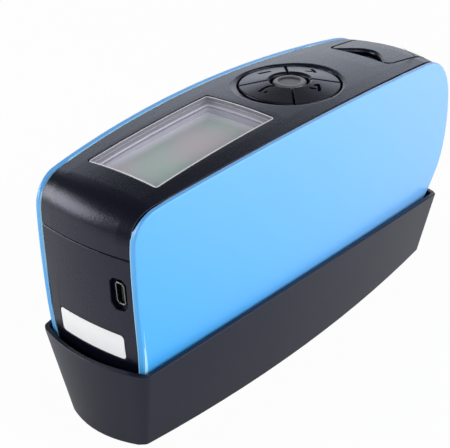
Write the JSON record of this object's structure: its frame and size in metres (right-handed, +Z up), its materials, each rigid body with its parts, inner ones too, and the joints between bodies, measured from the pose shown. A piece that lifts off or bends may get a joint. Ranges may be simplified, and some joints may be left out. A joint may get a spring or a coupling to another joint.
{
  "type": "gloss meter",
  "caption": "Handheld 60 degree gloss meter, lens-shaped body with blue side panels, display and round keypad, standing in its black calibration holder.",
  "frame": {"origin": "on the ground under the middle of the whole length", "axes": "+X towards the battery end, -X towards the USB end, -Y towards the right side panel, +Z up"},
  "size_m": [0.1717, 0.057, 0.0883],
  "materials": {
    "holder_plastic": "fine satin texture",
    "shell_plastic": "fine satin texture",
    "panel_plastic": "smooth satin gloss",
    "window_plastic": "clear polished",
    "frame_plastic": "satin",
    "display_glass": "smooth",
    "circuit_board": "lacquered",
    "key_silicone": "matte",
    "key_plastic": "satin",
    "button_plastic": "satin",
    "inner_plastic": "matte",
    "cell_wrap": "shrink film",
    "steel": "plated",
    "optical_glass": "polished",
    "tile_glass": "polished black glass",
    "foot_rubber": "matte",
    "label_film": "satin"
  },
  "bodies": {
    "housing": {"holder_tub": "holder_plastic", "tile_frame": "holder_plastic", "calibration_tile": "tile_glass", "foot_near_right": "foot_rubber", "foot_near_left": "foot_rubber", "foot_far_right": "foot_rubber", "foot_far_left": "foot_rubber", "upper_shell": "shell_plastic", "lower_shell": "shell_plastic", "right_panel": "panel_plastic", "left_panel": "panel_plastic", "lcd_window": "window_plastic", "lcd_frame": "frame_plastic", "lcd_module": "display_glass", "main_board": "circuit_board", "usb_board": "circuit_board", "key_mat": "key_silicone", "battery_tray": "inner_plastic", "optics_block": "inner_plastic", "receiver_sensor": "inner_plastic", "usb_insert": "inner_plastic", "battery_cell": "cell_wrap", "battery_spring": "steel", "usb_socket": "steel", "block_screw_1": "steel", "block_screw_2": "steel", "block_screw_3": "steel", "block_screw_4": "steel", "source_lens": "optical_glass", "receiver_lens": "optical_glass", "source_lamp": "optical_glass", "serial_label": "label_film"},
    "front_key": {"key_front": "key_plastic"},
    "rear_key": {"key_rear": "key_plastic"},
    "left_key": {"key_left": "key_plastic"},
    "right_key": {"key_right": "key_plastic"},
    "button": {"centre_button": "button_plastic"},
    "cover": {"battery_cover": "shell_plastic", "cover_contact": "steel"}
  },
  "joints": [
    {"name": "key_front_press", "type": "slide", "parent": "housing", "child": "front_key", "axis": [-0.0717, 0, -0.9974], "range_m": [0, 0.0005], "stiffness_N_per_m": 600, "springref_m": -0.0005},
    {"name": "key_rear_press", "type": "slide", "parent": "housing", "child": "rear_key", "axis": [-0.0717, 0, -0.9974], "range_m": [0, 0.0005], "stiffness_N_per_m": 600, "springref_m": -0.0005},
    {"name": "key_left_press", "type": "slide", "parent": "housing", "child": "left_key", "axis": [-0.0717, 0, -0.9974], "range_m": [0, 0.0005], "stiffness_N_per_m": 600, "springref_m": -0.0005},
    {"name": "key_right_press", "type": "slide", "parent": "housing", "child": "right_key", "axis": [-0.0717, 0, -0.9974], "range_m": [0, 0.0005], "stiffness_N_per_m": 600, "springref_m": -0.0005},
    {"name": "centre_button_press", "type": "slide", "parent": "housing", "child": "button", "axis": [-0.0717, 0, -0.9974], "range_m": [0, 0.0005], "stiffness_N_per_m": 600, "springref_m": -0.0005},
    {"name": "battery_cover_slide", "type": "slide", "parent": "housing", "child": "cover", "axis": [1, 0, 0], "range_m": [0, 0.012]}
  ]
}
